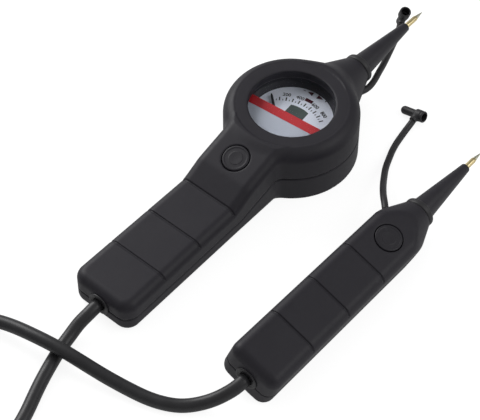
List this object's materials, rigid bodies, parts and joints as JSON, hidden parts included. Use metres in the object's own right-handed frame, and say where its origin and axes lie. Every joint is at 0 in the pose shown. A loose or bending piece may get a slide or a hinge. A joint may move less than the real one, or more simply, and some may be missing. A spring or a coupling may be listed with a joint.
{
  "type": "two-pole voltage tester",
  "caption": "Voltage tester with a round dial handset and a plain probe handset on one cable; each has a button, a tapered probe and a tip cap on a tether.",
  "frame": {"origin": "where the dial's axis meets the flat back of the dial handset", "axes": "+Y along the dial handset towards its probe tip, +Z out of the dial, +X to the right seen from the dial side; the floor is z = 0"},
  "size_m": [0.1739, 0.4307, 0.035],
  "materials": {
    "case_plastic": "rubberised moulded plastic, dark charcoal",
    "soft_rubber": "matt black rubber",
    "button_plastic": "moulded plastic, fine grain",
    "cone_plastic": "moulded plastic, slight sheen",
    "dial_face": "printed bluish white",
    "red_print": "printed red",
    "display_glass": "grey-green display",
    "lamp_plastic": "dark red lamp lens",
    "clear_lens": "clear polished",
    "board_laminate": "green circuit board",
    "beige_ceramic": "resistor coating",
    "inner_plastic": "black moulded plastic",
    "magnet_metal": "ground magnet steel",
    "steel": "zinc plated or polished steel",
    "brass": "polished brass",
    "bronze": "enamelled wire and spring bronze"
  },
  "bodies": {
    "case": {"main_bottom_shell": "case_plastic", "main_top_shell": "case_plastic", "main_gasket": "soft_rubber", "window_seal": "soft_rubber", "window_lens": "clear_lens", "dial_surround": "inner_plastic", "dial_cover": "dial_face", "dial_band": "red_print", "dial_plate": "dial_face", "display_window": "display_glass", "indicator_lenses": "lamp_plastic", "display_board": "board_laminate", "dial_carrier": "inner_plastic", "carrier_screws": "steel", "core_magnet": "magnet_metal", "yoke_ring": "magnet_metal", "movement_base": "brass", "movement_bridge": "brass", "pivot_bearings": "bronze", "hairsprings": "bronze", "main_board": "board_laminate", "series_resistors": "beige_ceramic", "load_ptc": "bronze", "board_parts": "inner_plastic", "main_button_spring": "steel", "main_switch": "inner_plastic", "switch_bracket": "inner_plastic", "main_cone": "cone_plastic", "main_collar": "soft_rubber", "main_tip": "brass", "main_point": "steel", "main_gland": "soft_rubber", "main_cable_end": "soft_rubber", "main_clamp": "inner_plastic", "main_clamp_screws": "steel", "main_screws": "steel", "main_tether": "soft_rubber", "main_cap": "soft_rubber", "probe_bottom_shell": "case_plastic", "probe_top_shell": "case_plastic", "probe_button_spring": "steel", "probe_switch": "inner_plastic", "probe_board": "board_laminate", "probe_resistors": "beige_ceramic", "probe_cone": "cone_plastic", "probe_collar": "soft_rubber", "probe_tip": "brass", "probe_point": "steel", "probe_gland": "soft_rubber", "probe_cable_end": "soft_rubber", "probe_screws": "steel", "probe_tether": "soft_rubber", "probe_cap": "soft_rubber", "cable_run": "soft_rubber", "cable_coil": "soft_rubber"},
    "main_button": {"main_button": "button_plastic"},
    "probe_button": {"probe_button": "button_plastic"},
    "pointer": {"pointer": "inner_plastic", "pivot_shaft": "steel", "coil_former": "bronze"}
  },
  "joints": [
    {"name": "main_button_press", "type": "slide", "parent": "case", "child": "main_button", "axis": [0, 0.2961, -0.9552], "range_m": [0, 0.001], "stiffness_N_per_m": 400, "springref_m": -0.001, "deforming": ["main_button_spring"]},
    {"name": "probe_button_press", "type": "slide", "parent": "case", "child": "probe_button", "axis": [-0.3173, 0, -0.9483], "range_m": [0, 0.001], "stiffness_N_per_m": 400, "springref_m": -0.001, "deforming": ["probe_button_spring"]},
    {"name": "pointer_swing", "type": "hinge", "parent": "case", "child": "pointer", "pos_m": [0.00115, -0.01195, 0.024], "axis": [0, 0, -1], "range_deg": [0, 90], "stiffness_Nm_per_rad": 0.00002, "deforming": ["hairsprings"]}
  ]
}
